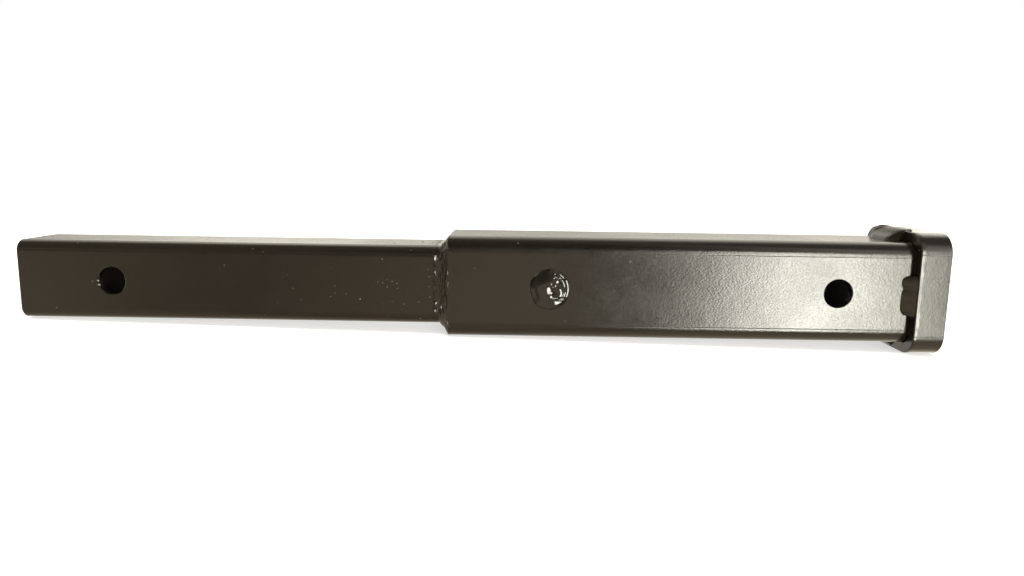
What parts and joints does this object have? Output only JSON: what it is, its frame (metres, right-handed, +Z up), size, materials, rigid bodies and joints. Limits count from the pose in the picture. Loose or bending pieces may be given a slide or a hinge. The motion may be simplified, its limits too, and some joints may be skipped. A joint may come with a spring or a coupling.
{
  "type": "hitch receiver extender",
  "caption": "Hitch receiver extender: a square shank tube welded into a larger receiver tube with a reinforced mouth and cross-drilled pin holes.",
  "frame": {"origin": "centre of the shank's pin hole, on the axis shared by both tubes", "axes": "+X along the tubes towards the receiver's mouth, +Y along the pin holes to the far side, +Z up"},
  "size_m": [0.5815, 0.0764, 0.0764],
  "materials": {
    "tube_coat": "semi-gloss black powder coat with fine orange peel on steel tube",
    "collar_coat": "semi-gloss black powder coat on bent steel bar",
    "weld_coat": "glossy black powder coat over rippled weld bead"
  },
  "bodies": {
    "root": {"shank_tube": "tube_coat", "receiver_tube": "tube_coat", "reinforcing_collar": "collar_coat", "shank_weld": "weld_coat", "plug_weld_front": "weld_coat", "plug_weld_back": "weld_coat", "collar_weld_front": "weld_coat", "collar_weld_back": "weld_coat", "collar_weld_top": "weld_coat", "collar_weld_bottom": "weld_coat"}
  },
  "joints": []
}
